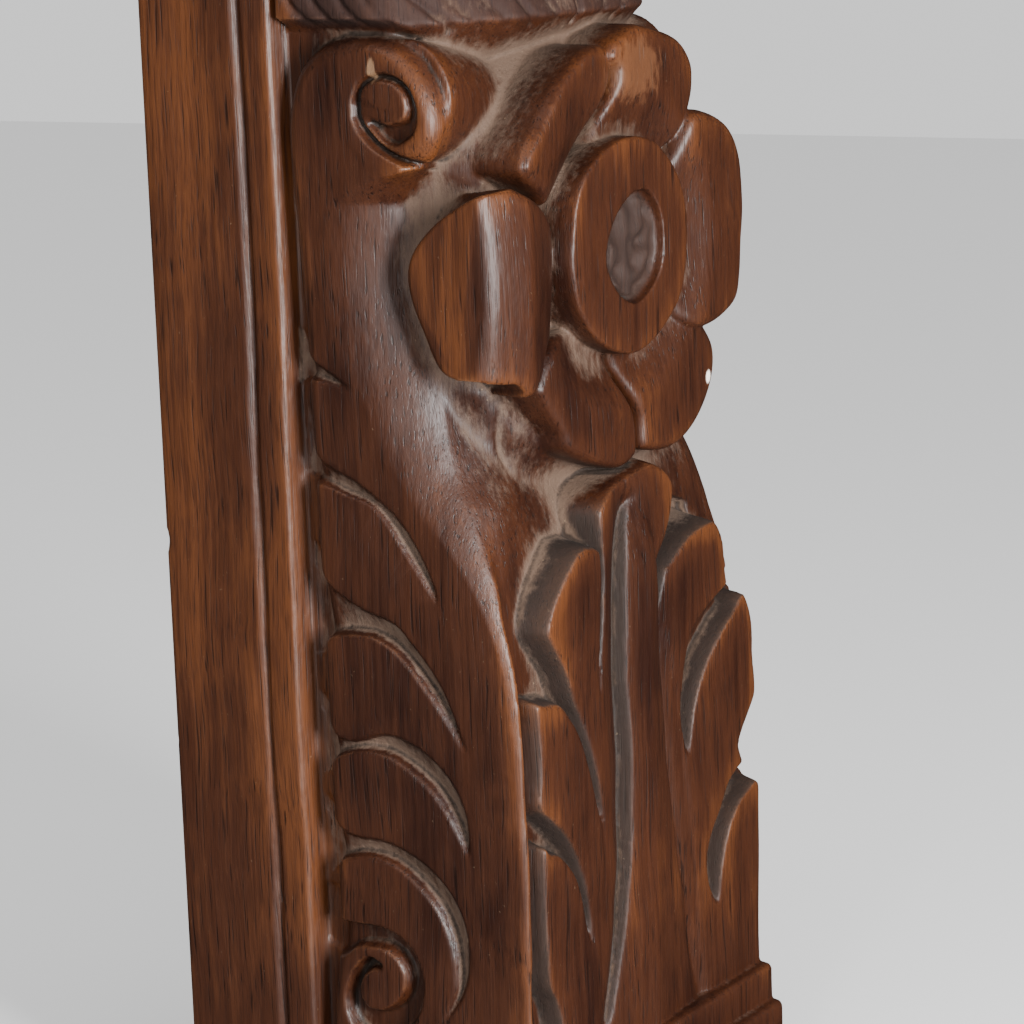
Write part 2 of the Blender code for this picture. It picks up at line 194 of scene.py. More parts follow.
def set_in(upper, lower, depth, first=flank_deep, second=flank_high, lip=0.30, wall_width=1.7):
    """A notch: its floor sinks from the upper edge to a steep wall under the lower."""
    upper = curve_through(upper)
    lower = curve_through(lower)
    to_upper = nearest(upper, first, second)[0]
    to_lower = nearest(lower, first, second)[0]
    region = within(np.vstack([upper, lower[::-1]]), first, second)
    gap = to_upper + to_lower
    full = depth * (1.0 - np.exp(-gap / 4.5))
    slope = (to_upper / np.maximum(gap, 1e-6)) ** 0.7
    bottom = full * (lip * np.clip(to_upper / 1.5, 0, 1) + (1.0 - lip) * slope)
    side_wall = full * np.clip(1.0 - to_lower / wall_width, 0.0, 1.0)
    return np.where(region, bottom, np.where(to_lower < to_upper, side_wall, 0.0))


def scored(path, depth, wall=1.3):
    """A groove of changing width along a path, with steep sides and a flat floor."""
    line = curve_through(path)
    gap, share = nearest(line, flank_deep, flank_high)[:2]
    half = np.interp(share, np.linspace(0, 1, len(line)), line[:, 2])
    return depth * ease((half - gap) / wall + 0.5)


STEM_ROUND = 10.0
stem_in = inside_by(STEM, flank_deep, flank_high)
edge_round = np.clip(stem_in / STEM_ROUND, 0.0, 1.0)
raised = CHANNEL_SINK * np.sqrt(np.maximum(1.0 - (1.0 - edge_round) ** 2, 0.0))
flank = HALF_WIDTH - CHANNEL_SINK + raised
uncut = flank
for upper, lower, depth in NOTCHES:
    flank = flank - set_in(upper, lower, depth)
notched = np.clip((uncut - flank) / 5.0, 0.0, 1.0)
flank = flank - scored(SMALL_SCROLL, 9.0) - scored(LARGE_SCROLL, 6.5, 1.0)
EYE_DEEP, EYE_HIGH = 163.5, 198.0
flank = flank - 1.2 * np.exp(-((flank_deep - EYE_DEEP) ** 2 + (flank_high - EYE_HIGH) ** 2) / 170.0)
RING_CREASE = [(190, 164), (180, 166), (169, 169), (153, 178), (144, 189), (143, 199), (147, 208)]
gap, share, side = nearest(curve_through(RING_CREASE), flank_deep, flank_high)
faded = ease(share / 0.15) * ease((1 - share) / 0.2)
flank = flank - np.where(side > 0, 0.0, 4.0) * np.exp(-gap / 14.0) * faded
flank = np.maximum(flank, HALF_WIDTH - CHANNEL_SINK - 1.5)
board = HALF_WIDTH - 4.0 * np.clip(1.0 - np.abs(flank_deep - BOARD_DEPTH) / 3.2, 0.0, 1.0)
strip_edge = np.clip((flank_deep - STRIP_END) / 3.5, 0.0, 1.0)
board = board - CHANNEL_SINK * strip_edge - 0.8 * (flank_deep > BOARD_DEPTH)
flank = np.where(flank_deep < CARVING_START, board, flank)


def rubbed_down(heights):
    """The cut surface lightly sanded, so that no step is sharper than the tool left it."""
    for axis in (0, 1):
        ahead = np.roll(heights, 1, axis=axis)
        behind = np.roll(heights, -1, axis=axis)
        heights = 0.2 * ahead + 0.6 * heights + 0.2 * behind
    return heights


flank = rubbed_down(flank)

# The front. Between the flanks the same wood is hollowed to a cove, deepest
# behind the rosette, and the lower half is cut into an upright leaf spray: a
# pointed rib, a middle leaf behind it and three leaves to each side.
GROUND = [(-420, 221), (-300, 222), (-180, 222), (-120, 220), (-80, 217), (-60, 214), (-40, 211),
          (-20, 206), (0, 198), (60, 179), (120, 168), (180, 163), (215, 163), (420, 163)]
RIM = [(-420, 236), (-203, 236), (-128, 234), (-85, 227), (-43, 214), (0, 198), (53, 190), (95, 180),
       (127, 174), (158, 172), (172, 198), (228, 202), (238, 170), (420, 165)]
RIGHT_RIM = [(-420, 232), (-300, 226), (-200, 222), (-128, 221), (-85, 215), (-61, 210), (-41, 201),
             (-21, 191), (0, 184), (53, 178), (127, 170), (158, 172), (172, 198), (228, 202),
             (238, 170), (420, 165)]
RIM_END = [(-420, 126), (-120, 125.5), (-60, 121), (0, 114), (60, 106), (158, 104), (172, 122),
           (420, 122)]
RIM_FALL = [(-420, 2.4), (-120, 2.2), (-60, 1.2), (0, 0.6), (158, 0.5), (172, 3.0), (420, 3.0)]
PLANE = 235.5
MIDDLE_LEAF = [(10, -14), (-10, -17), (-26, -21), (-38, -27), (-43, -33), (-42, -45), (-40, -62),
               (-42, -90), (-46, -140), (-50, -200), (-60, -260), (-74, -345), (84, -345), (72, -280),
               (60, -220), (50, -165), (32, -112), (17, -98), (20, -74), (30, -58), (38, -43),
               (40, -29), (30, -19), (18, -14)]
SIDE_LEAVES = [
    [(-46, -52), (-55, -48), (-68, -48), (-79, -55), (-91, -66), (-99, -76), (-103, -87), (-97, -98),
     (-86, -112), (-79, -129), (-68, -150), (-60, -171), (-53, -190), (-48, -206), (-44, -230),
     (-50, -290), (-60, -345), (-30, -345), (-30, -240), (-38, -160), (-43, -110), (-44, -85),
     (-42, -72), (-42, -59)],
    [(-90, -129), (-105, -126), (-113, -125), (-112, -140), (-111, -160), (-112, -183), (-101, -195),
     (-88, -208), (-80, -219), (-74, -230), (-69, -242), (-65, -254), (-62, -275), (-64, -345),
     (-40, -345), (-42, -240), (-48, -205), (-53, -188), (-59, -168), (-66, -155), (-78, -140)],
    [(-93, -214), (-103, -210), (-111, -206), (-111, -235), (-110, -262), (-107, -284), (-100, -297),
     (-96, -312), (-92, -345), (-54, -345), (-60, -285), (-65, -255), (-71, -241), (-78, -228)],
    [(84, -57), (68, -58), (54, -61), (39, -68), (26, -78), (19, -90), (15, -104), (24, -112), (34, -140),
     (40, -164), (44, -200), (52, -250), (66, -345), (104, -345), (104, -200), (108, -120), (100, -102),
     (97, -92), (96, -74), (91, -63)],
    [(114, -108), (104, -115), (91, -122), (75, -135), (62, -150), (53, -167), (48, -184), (45, -196),
     (50, -215), (60, -250), (76, -345), (136, -345), (124, -240), (109, -206), (108, -196), (121, -181),
     (132, -166), (127, -150), (127, -127), (121, -112)],
    [(118, -224), (104, -231), (91, -242), (83, -259), (79, -275), (80, -300), (88, -345), (130, -345),
     (125, -334), (133, -325), (126, -313), (130, -296), (138, -278), (140, -262), (138, -244),
     (133, -230)],
]
RIB = [(4, -26), (-9, -35), (-15, -52), (-18, -72), (-20, -110), (-20, -135), (-18, -165), (-18, -215),
       (-22, -255), (-29, -290), (-38, -320), (-44, -345), (60, -345), (50, -320), (43, -276), (36, -250),
       (28, -212), (23, -179), (20, -141), (17, -116), (16, -80), (13, -58), (10, -42)]


def standing(outline, height, crown, spread, steep=6.0):
    """A leaf standing off the ground: rounded across, with near upright sides."""
    inner = inside_by(outline, front_across, front_high)
    swell = np.clip(inner / spread, 0.0, 1.0)
    top = height - crown * (1.0 - np.sqrt(np.maximum(1.0 - (1.0 - swell) ** 2, 0.0)))
    return np.where(inner > 0, top, height - crown + inner * steep)


def along_height(stations):
    """Values along the height, eased between the stations, for every place across."""
    line = curve_through(stations)
    return np.broadcast_to(np.interp(high, line[:, 0], line[:, 1])[None, :], front_across.shape)


ground = along_height(GROUND)
from_end = np.maximum(along_height(RIM_END) - np.abs(front_across), 0.0)
rim = np.where(front_across < 0, along_height(RIM), along_height(RIGHT_RIM))
rim = rim - along_height(RIM_FALL) * from_end
ground = -meld(-ground, -rim, 5.0)
FLOWER_EDGE = [(-98, 149), (-97, 166), (-66, 197), (-10, 224), (40, 230), (80, 212), (98, 174),
              (122, 160), (128, 110), (122, 66), (98, 44), (86, 8), (46, -10), (8, -12), (-36, -5),
              (-64, 6), (-90, 40), (-104, 46), (-106, 100)]
flower_out = np.maximum(-inside_by(FLOWER_EDGE, front_across, front_high), 0.0)
mound = 212.0 - 16.0 * ease((front_high - 110.0) / 60.0) - flower_out - 0.012 * flower_out ** 2
mound = mound - 60.0 * ease((np.abs(front_across) - 92.0) / 34.0)
ground = -meld(-ground, -mound, 14.0)
carved = standing(MIDDLE_LEAF, PLANE - 0.5, 0.8, 7.0)
for k, outline in enumerate(SIDE_LEAVES):
    topmost = 0.5 if k % 3 == 0 else 0.0
    carved = np.maximum(carved, standing(outline, PLANE + topmost, 0.9, 7.0))
foot_left = [(3, -26), (-10, -35), (-17, -52), (-20, -72), (-22, -110), (-22, -150), (-20, -215),
             (-24, -255), (-31, -290), (-40, -320), (-46, -345)]
foot_right = [(10, -42), (15, -80), (19, -120), (24, -165), (29, -200), (36, -245), (44, -280),
              (55, -325), (60, -345)]
for path, depth, spread in ((foot_left, 9.0, 8.0), (foot_right, 4.0, 6.0)):
    gap, share = nearest(curve_through(path), front_across, front_high)[:2]
    carved = carved - depth * ease(share / 0.12) * np.exp(-gap / spread)


def valley(path, depth):
    """A V cut along a path on the front, as wide as the path says."""
    line = curve_through(path)
    gap, share = nearest(line, front_across, front_high)[:2]
    half = np.interp(share, np.linspace(0, 1, len(line)), line[:, 2])
    return depth * np.clip(1.0 - gap / np.maximum(half, 0.5), 0.0, 1.0) * np.clip(half / 2.0, 0, 1)


LEAF_VALLEYS = [
    [(-43, -54, 2.0), (-41.5, -66, 2.4), (-42, -80, 2.4), (-44, -100, 2.0), (-46, -118, 1.4),
     (-47, -134, 0.5)],
    [(-111, -84, 3.0), (-99, -97, 3.0), (-88, -112, 2.8), (-80, -128, 2.6), (-69, -148, 2.4),
     (-60, -170, 2.2), (-53, -190, 2.0), (-48, -206, 0.8)],
    [(-114, -186, 3.0), (-101, -196, 3.0), (-88, -208, 2.8), (-79, -220, 2.6), (-74, -230, 2.4),
     (-69, -243, 2.2), (-65, -257, 2.0), (-62, -272, 0.8)],
]
for path in LEAF_VALLEYS:
    carved = carved - valley(path, 8.0)
rib_height = PLANE + 3.5 - 5.0 * ease((front_high + 70.0) / 45.0)
rib_height = rib_height - 0.14 * np.abs(front_across - 5.0)
carved = np.maximum(carved, standing(RIB, rib_height, 1.2, 6.0))
carved = -meld(-carved, -ground, 1.5)
gully = [(-119, -112, 5), (-118, -160, 5), (-119, -200, 5), (-118, -260, 5.5), (-116, -300, 6),
         (-115, -345, 6)]
carved = carved - valley(gully, 12.0)
crease = [(-88, 34, 1.0), (-87, 24, 2.4), (-84, 8, 2.4), (-78, -6, 1.0)]
carved = carved - valley(crease, 3.5)
RIGHT_CUTS = [
    ([(92, -50), (76, -44), (60, -42), (46, -49), (35, -64), (27, -78), (21, -92), (16, -106)],
     [(92, -60), (84, -57), (68, -58), (54, -61), (39, -68), (26, -78), (19, -90), (16, -106)], 14.0),
    ([(120, -92), (86, -104), (68, -112), (56, -120), (49, -132), (45, -147), (43, -167), (47, -190)],
     [(132, -104), (114, -108), (104, -115), (91, -122), (75, -135), (62, -150), (53, -167),
      (47, -190)], 15.0),
    ([(134, -204), (110, -211), (93, -218), (82, -231), (72, -244), (67, -257), (69, -274), (77, -289)],
     [(134, -216), (117, -225), (103, -231), (90, -242), (83, -257), (79, -272), (77, -289)], 15.0),
]
for upper, lower, depth in RIGHT_CUTS:
    carved = carved - set_in(upper, lower, depth, front_across, front_high, lip=0.35, wall_width=2.0)
carved = rubbed_down(np.maximum(carved, along_height(GROUND) - 6.0))

# Rounding the corners. From the foot to the neck the corner between flank and
# front opens from a small rubbed edge to a wide roll, where the stem leans back
# towards the scroll. The back stays square.
roll_left = np.interp(high, [-405, -140, -90, -50, 0, 60, 100, 145, 160, 172, 236, 405],
                      [6, 7, 12, 24, 46, 64, 66, 50, 22, 7, 7, 12])
roll_right = np.interp(high, [-405, -90, -50, 0, 60, 100, 145, 160, 172, 236, 405],
                       [5, 6, 18, 40, 60, 64, 50, 22, 7, 7, 12])
roll = np.where(X < 0, roll_left[None, None, :], roll_right[None, None, :]).astype(np.float32)
lean = unevenness(3, 60.0, 0.9) + unevenness(5, 17.0, 0.28)
side_gap = np.maximum(-X, X) - flank[None].astype(np.float32)
front_gap = D - carved[:, None, :].astype(np.float32)
over_side = np.maximum(side_gap + roll, 0.0)
over_front = np.maximum(front_gap + roll, 0.0)
square_corner = np.maximum(side_gap, front_gap)
block = np.sqrt(over_side ** 2 + over_front ** 2) + np.minimum(square_corner + roll, 0.0) - roll
block = np.where(D < 110.0, square_corner, block)

# The two scrolls' rolls. Each scroll goes inwards as a thick horn of the same
# wood, which thins out until it sinks in the cove under the head.
HORN_LINE = [(-134, 165, 198, 33.5), (-112, 166, 198, 32), (-90, 168, 197, 29.5), (-72, 170, 196, 26),
             (-58, 171, 196, 21), (-46, 171, 195, 14), (-38, 171, 195, 6)]


def horn(sign):
    """The thinning roll behind one scroll, a little taller than it is deep."""
    ends, depths, heights, radii = np.array(HORN_LINE, float)[::-1].T
    reach = sign * -X
    radius = np.interp(reach, -ends, radii).astype(np.float32)
    middle_deep = np.interp(reach, -ends, depths).astype(np.float32)
    middle_high = np.interp(reach, -ends, heights).astype(np.float32)
    return np.hypot((D - middle_deep) / 0.92, (Z - middle_high) / 1.06) - radius


for sign in (1.0, -1.0):
    along = sign * X
    roll_body = horn(sign)
    roll_body = np.maximum(roll_body, -along - flank[None].astype(np.float32))
    roll_body = np.maximum(roll_body, along + 37.0)
    block = meld(block, roll_body.astype(np.float32), 3.0)

# The rosette. Six thick petals, squarish and dished, stand round a flat disc
# whose middle is sunk and filled by a rough knob. Left and right petals are cut
# off flush with the flanks.
PETALS = [
    [(-98, 149), (-118, 156), (-150, 156), (-150, 48), (-118, 44), (-96, 40), (-88, 45), (-79, 58),
     (-70, 72), (-66, 88), (-64, 110), (-66, 129), (-75, 138), (-85, 144)],
    [(-3, 220), (-13, 223), (-30, 220), (-49, 210), (-66, 197), (-78, 185), (-90, 174), (-96, 163),
     (-89, 155), (-76, 147), (-66, 140), (-53, 150), (-36, 166), (-13, 185), (-3, 197), (1, 208)],
    [(-6, 214), (-3, 223), (9, 229), (24, 232), (47, 227), (67, 220), (79, 208), (81, 197), (78, 185),
     (68, 171), (48, 156), (10, 156), (-20, 166), (-9, 184), (0, 197), (1, 208)],
    [(60, 160), (71, 178), (90, 177), (112, 167), (124, 150), (128, 124), (125, 101), (122, 82),
     (115, 66), (94, 57), (70, 56), (54, 66), (46, 90), (46, 130)],
    [(53, 68), (76, 63), (96, 45), (97, 25), (86, 7), (67, -6), (45, -11), (20, -8), (14, -3), (13, 12),
     (4, 30), (-4, 44), (-4, 60), (30, 70)],
    [(12, -2), (9, -10), (-9, -14), (-36, -6), (-62, 5), (-70, 17), (-86, 35), (-90, 46), (-72, 66),
     (-40, 72), (-12, 60), (-6, 44), (2, 30), (11, 12)],
]
PETAL_FOOT = 160.0
PETAL_FACES = (232.0, 229.0, 231.0, 237.0, 232.0, 231.0)
D_BACK = [(45, 238), (52, 217), (54, 196), (62, 186), (79, 179), (95, 173), (109, 171), (122, 176),
          (136, 190), (149, 213), (155, 231), (160, 240)]
CREST = [(-96, 163), (-89, 171), (-77, 181), (-65, 193), (-48, 207), (-29, 218)]
bend = curve_through(D_BACK)
back_of_d = np.interp(high, bend[:, 0], bend[:, 1])
flower = None
for k, outline in enumerate(PETALS):
    inner = inside_by(outline, front_across, front_high)
    off_disc = np.hypot(front_across + 2.0, front_high - 111.0) - 61.0
    face = PETAL_FACES[k] - 9.0 * ease((34.0 - off_disc) / 34.0)
    softness = 4.0
    if k == 0:
        crest = -97.0 - 5.0 * np.cos((front_high - 100.0) / 34.0)
        fall = np.where(front_across < crest, 11.0, 7.0)
        face = 234.0 - fall * (np.abs(front_across - crest) / 32.0) ** 1.3
        face = face - 3.0 * ((front_high - 98.0) / 50.0) ** 2
        softness = 2.0
    if k == 1:
        from_crest = nearest(curve_through(CREST), front_across, front_high)[0]
        face = 229.0 - 0.12 * from_crest - 4.0 * ease((24.0 - off_disc) / 24.0)
        softness = 3.0
    flat = np.clip(inner / 8.0, 0.0, 1.0)
    face = face - softness * (1.0 - np.sqrt(np.maximum(1.0 - (1.0 - flat) ** 2, 0.0)))
    petal = trim(-inner[:, None, :].astype(np.float32), D - face[:, None, :].astype(np.float32), 4.0)
    if k == 0:
        foot = back_of_d[None, None, :] - 60.0 * ease((X + 112.0) / 30.0)
        petal = trim(petal, (foot - D).astype(np.float32), 5.0)
    elif k == 3:
        foot = back_of_d[None, None, :] - 60.0 * ease((127.0 - X) / 14.0)
        petal = trim(petal, (foot - D).astype(np.float32), 5.0)
    else:
        petal = np.maximum(petal, PETAL_FOOT - D)
    flower = petal if flower is None else meld(flower, petal, 1.2)
flower = trim(flower, np.abs(X) - HALF_WIDTH, 9.0)
DISC = [(-63, 122), (-57, 143), (-44, 158), (-20, 169), (6, 171), (32, 164), (51, 146), (59, 128),
        (60, 111), (56, 91), (45, 72), (21, 56), (-6, 51), (-38, 62), (-58, 83), (-64, 104)]
disc_gap = -inside_by(DISC, front_across, front_high)
DISC_FACE = 236.6
disc = trim(disc_gap[:, None, :].astype(np.float32), D - DISC_FACE, 2.0)
flower = meld(flower, np.maximum(disc, PETAL_FOOT - D), 1.0)
PIT = [(-29, 108), (-25, 120), (-14, 132), (2, 140), (18, 139), (30, 127), (33, 110), (28, 94), (14, 83),
       (0, 80), (-16, 87), (-26, 98)]
pit = inside_by(PIT, front_across, front_high)
lumps = unevenness(11, 6.0, 1.0, (across, high)) + 0.7 * unevenness(12, 13.0, 1.0, (across, high))
seam = np.clip(1.0 - np.abs(pit - 2.2) / 2.2, 0.0, 1.0) * ease((14.0 - front_across) / 20.0)
pit_floor = 233.2 + 1.3 * lumps * ease(pit / 5.0) - 5.0 * seam - 2.5 * ease((front_across + 2.0) / 30.0)
open_pit = trim(-pit[:, None, :].astype(np.float32), pit_floor[:, None, :].astype(np.float32) - D, 1.5)
flower = np.maximum(flower, -open_pit)
block = meld(block, flower, 2.0)

# The head. Above the scrolls a broad leaf hangs over on all three sides; its
# wavy lip comes to a point in the middle of the front, veins are scored into
# it, and a plain block above carries the beam.
HEAD_OUT = [(190, 158), (204, 168), (212, 177), (224, 191), (235, 203), (239, 208), (240.5, 208.5),
            (247, 206.5), (258, 204), (285, 196), (305, 201), (325, 217), (337, 232), (350, 236),
            (405, 236)]
HEAD_PLAN = [(0, 1.0), (35, 0.995), (60, 0.98), (90, 0.92), (110, 0.86), (122, 0.81), (131, 0.74),
             (140, 0.60)]
SQUARE_UP = [(222, 0.0), (300, 0.0), (345, 1.0), (405, 1.0)]
head_line = np.array(HEAD_OUT, float)
head_front = np.interp(high, head_line[:, 0], head_line[:, 1])
plan = np.array(HEAD_PLAN, float)
corner = np.interp(np.abs(across), plan[:, 0], plan[:, 1])
square = np.interp(high, *np.array(SQUARE_UP, float).T)
head_reach = head_front[None, :] * (corner[:, None] + (1.0 - corner[:, None]) * square[None, :])
VEINS = [(0, 3.0), (-20, 1.6), (-42, 3.0), (-62, 1.4), (-80, 1.6), (-95, 3.0), (-110, 1.4)]
for foot_x, cut in VEINS:
    for hand in (1.0, -1.0):
        line = [(foot_x, 236), (foot_x * 1.04 - 8, 246), (foot_x * 1.08 - 14, 260), (foot_x * 1.1 - 18, 290),
                (foot_x * 1.1 - 20, 330)]
        line = np.array([(hand * a if foot_x else 0, b) for a, b in line], float)
        gap = nearest(curve_through(line), front_across, front_high)[0]
        head_reach = head_reach - cut * np.exp(-(gap / 2.4) ** 2)
HEAD_SIDE = [(200, 40), (214, 66), (228, 96), (237, 116), (241.5, 124), (243.5, 129.5), (250, 129.5),
             (330, 130), (405, 130)]
head_side = np.broadcast_to(np.interp(high, *np.array(HEAD_SIDE, float).T)[None, :], flank_deep.shape)
for foot_q in (112, 128, 146, 163):
    line = curve_through([(foot_q, 242), (foot_q - 12, 255), (foot_q - 20, 290), (foot_q - 22, 330)])
    gap = nearest(line, flank_deep, flank_high)[0]
    head_side = head_side - 2.2 * np.exp(-(gap / 2.2) ** 2)
head = trim(np.abs(X) - head_side[None].astype(np.float32),
            D - head_reach[:, None, :].astype(np.float32), 5.0)
head = trim(head, 192.0 - Z, 8.0)
HEAD_BACK = 92.0
head = np.maximum(head, HEAD_BACK - D)
block = meld(block, head, 4.0)
CAP_DEEP, CAP_UNDERSIDE = 247.0, 336.0
cap = np.maximum(np.abs(X) - HALF_WIDTH + 0.5, D - CAP_DEEP)
cap = np.maximum(cap, np.maximum(CAP_UNDERSIDE - Z, HEAD_BACK - D))
block = meld(block, cap, 2.0)

# The foot. A rounded ledge and a deeper base below it carry the spray. Both
# are cut in the same wood and sawn off flat underneath.
STEP_BACK = 95.0
LEDGE_DEEP, LEDGE_TOP = 243.5, -340.5
BASE_DEEP, BASE_TOP = 250.5, -362.5
ledge = trim(np.abs(X) - HALF_WIDTH, D - LEDGE_DEEP, 5.0)
ledge = trim(ledge, Z - LEDGE_TOP, 4.0)
ledge = np.maximum(ledge, STEP_BACK - D)
block = meld(block, np.maximum(ledge, -HALF_HEIGHT - Z), 1.5)
base = trim(np.abs(X) - HALF_WIDTH, D - BASE_DEEP, 5.0)
base = trim(base, Z - BASE_TOP, 4.5)
base = np.maximum(base, STEP_BACK - D)
block = meld(block, base, 1.0)

# Hand and wear. The whole block gets the slight unevenness of hand work, it is
# trimmed to its sawn faces at the back, the top and the bottom, and two knocks
# have bruised the left back edge.
block = block + lean * ease((D - 8.0) / 30.0)
block = trim(block, np.maximum(-D, np.abs(Z) - HALF_HEIGHT), 2.0)
block = np.maximum(block, np.abs(X) - HALF_WIDTH + 0.02)
block = np.maximum(block, D - 250.9)
for knock_high, knock_deep in ((-49.0, 4.5), (-166.0, 3.2)):
    knock = np.sqrt((X + 132.0) ** 2 + (D + 1.0) ** 2 + ((Z - knock_high) / 2.0) ** 2)
    block = np.maximum(block, knock_deep - knock)


def skin(field):
    """The surface where the field changes sign, one quad for each crossed edge."""
    nx, ny, nz = field.shape
    corner_sum = np.zeros((nx - 1, ny - 1, nz - 1, 3), np.float32)
    corner_count = np.zeros((nx - 1, ny - 1, nz - 1), np.float32)
    quads = []
    for axis in range(3):
        first = [slice(None)] * 3
        second = [slice(None)] * 3
        first[axis] = slice(0, -1)
        second[axis] = slice(1, None)
        a, b = field[tuple(first)], field[tuple(second)]
        crossed = (a < 0) != (b < 0)
        i, j, k = np.nonzero(crossed)
        va, vb = a[i, j, k], b[i, j, k]
        t = va / (va - vb)
        spot = np.stack([i, j, k], 1).astype(np.float32)
        spot[:, axis] += t
        others = [n for n in range(3) if n != axis]
        cells = []
        for du in (-1, 0):
            for dv in (-1, 0):
                cell = [i, j, k]
                cell[others[0]] = cell[others[0]] + du
                cell[others[1]] = cell[others[1]] + dv
                cells.append(cell)
                np.add.at(corner_sum, (cell[0], cell[1], cell[2]), spot)
                np.add.at(corner_count, (cell[0], cell[1], cell[2]), 1.0)
        flat = [c[0] * (ny - 1) * (nz - 1) + c[1] * (nz - 1) + c[2] for c in cells]
        ring = np.stack([flat[0], flat[1], flat[3], flat[2]], 1)
        flip = (va < 0) == (axis != 1)
        ring[~flip] = ring[~flip][:, ::-1]
        quads.append(ring)
    quads = np.concatenate(quads)
    used = np.nonzero(corner_count.ravel() > 0)[0]
    number = np.full(corner_count.size, -1, np.int64)
    number[used] = np.arange(len(used))
    spots = corner_sum.reshape(-1, 3)[used] / corner_count.ravel()[used][:, None]
    return spots, number[quads]


spots, quads = skin(block)
places = np.empty_like(spots)
places[:, 0] = across[0] + spots[:, 0] * CELL
places[:, 1] = -(deep[0] + spots[:, 1] * CELL)
places[:, 2] = high[0] + spots[:, 2] * CELL
MOST_TRIANGLES = 190000
mesh = bpy.data.meshes.new("carved_bracket")
mesh.vertices.add(len(places))
mesh.vertices.foreach_set("co", (places * 0.001).astype(np.float32).ravel())
mesh.loops.add(quads.size)
mesh.loops.foreach_set("vertex_index", quads.astype(np.int32).ravel())
mesh.polygons.add(len(quads))
mesh.polygons.foreach_set("loop_start", np.arange(0, quads.size, 4, dtype=np.int32))
mesh.update(calc_edges=True)
mesh.validate()
bracket = bpy.data.objects.new("carved_bracket", mesh)
bpy.context.scene.collection.objects.link(bracket)
thin = bracket.modifiers.new("thin_out", "DECIMATE")
thin.ratio = min(1.0, MOST_TRIANGLES / (2 * len(quads)))
graph = bpy.context.evaluated_depsgraph_get()
finished = bpy.data.meshes.new_from_object(bracket.evaluated_get(graph))
bracket.modifiers.clear()
bracket.data = finished
finished.name = "carved_bracket"
finished.shade_smooth()


def softened(field, cells):
    """The field averaged over a small box, axis by axis."""
    for axis in range(3):
        total = np.cumsum(np.pad(field, [(cells + 1, cells) if n == axis else (0, 0) for n in range(3)],
                                 mode="edge"), axis=axis, dtype=np.float64)
        width = 2 * cells + 1
        upper = [slice(None)] * 3
        lower = [slice(None)] * 3
        upper[axis] = slice(width, None)
        lower[axis] = slice(0, -width)
        field = ((total[tuple(upper)] - total[tuple(lower)]) / width).astype(np.float32)
    return field


def looked_up(field, places):
    """Values of the field at points, in millimetres of the block."""
    spot = (places - [across[0], deep[0], high[0]]) / CELL
    spot = np.clip(spot, 0, np.array(field.shape) - 1.001)
    first = spot.astype(int)
    t = spot - first
    value = 0.0
    for step in np.ndindex(2, 2, 2):
        weight = np.prod(np.where(step, t, 1 - t), axis=1)
        cell = first + step
        value = value + weight * field[cell[:, 0], cell[:, 1], cell[:, 2]]
    return value


surface = np.empty(len(finished.vertices) * 3, np.float32)
finished.vertices.foreach_get("co", surface)
surface = surface.reshape(-1, 3) * [1000.0, -1000.0, 1000.0]
out_x, out_deep, out_high = surface.T
facing = np.empty(len(finished.vertices) * 3, np.float32)
finished.vertices.foreach_get("normal", facing)
facing = facing.reshape(-1, 3)
fine = round(1.6 / CELL)
tight = looked_up(softened(softened(np.clip(block, -5, 5), fine), fine), surface)
coarse, broad = round(8.0 / CELL), round(14.0 / CELL)
wide = looked_up(softened(softened(np.clip(block, -26, 26), broad), coarse), surface)
front_only = np.clip((out_deep - 205.0) / 6.0, 0, 1)
channel = np.clip((108.0 - out_deep) / 8.0, 0, 1)
knob = np.clip(inside_by(PIT, out_x, out_high) / 2.0, 0, 1) * (out_deep > 215)

# Dust lies behind the petals, round the disc, at the foot of the rib and in the
# notches, and painted shade darkens the upright sides of the leaves.
behind = np.clip((229.0 - out_deep) / 22.0, 0, 1) * np.clip((out_deep - 150.0) / 14.0, 0, 1)
behind = behind * np.clip((122.0 - np.abs(out_x)) / 22.0, 0, 1) * np.clip((out_high + 125.0) / 50.0, 0, 1)
round_disc = np.hypot(out_x + 2.0, out_high - 111.0) - 61.0
dished = np.clip(1.0 - np.abs(round_disc - 6.0) / 20.0, 0, 1) * (out_deep > 195) * (out_deep < 233)
rib_gap = nearest(curve_through(foot_left), out_x, out_high)[0]
dished = np.maximum(dished, 0.35 * np.exp(-rib_gap / 5.0) * front_only * (out_deep < 237.5))
row = np.clip(np.round((out_deep - deep[0]) / CELL).astype(int), 0, len(deep) - 1)
level = np.clip(np.round((out_high - high[0]) / CELL).astype(int), 0, len(high) - 1)
in_notch = notched[row, level] * np.clip((np.abs(out_x) - 102.0) / 6.0, 0, 1)
sheltered = np.maximum(np.maximum(behind, 1.15 * in_notch), dished)
# Painted shade: front surfaces of the spray that face sideways rather than forwards are marked to be
# coloured darker.
side_shade_mark = np.clip((facing[:, 1] + 0.85) / 0.35, 0, 1) * front_only
side_shade_mark = side_shade_mark * np.clip((-24.0 - out_high) / 10.0, 0, 1)
side_shade_mark = side_shade_mark * np.clip((np.where(out_x > 0, 130.0, 116.0) - np.abs(out_x)) / 6.0, 0, 1)
side_shade_mark = side_shade_mark * np.clip((out_high + 336.0) / 4.0, 0, 1)
marks = {
    "hollow": np.clip(-tight / 1.5, 0, 1),
    "worn": np.clip(tight / 1.5, 0, 1),
    "recess": np.clip(-wide / 9.0, 0, 1),
    "proud": np.clip(wide / 12.0, 0, 1),
    "upward": np.clip(facing[:, 2], 0, 1) * (1.0 - in_notch),
    "sheltered": sheltered,
    "side_shade_mark": side_shade_mark,
    "channel": channel,
    "knob": knob,
}
for name, values in marks.items():
    layer = finished.attributes.new(name, "FLOAT", "POINT")
    layer.data.foreach_set("value", values.astype(np.float32))
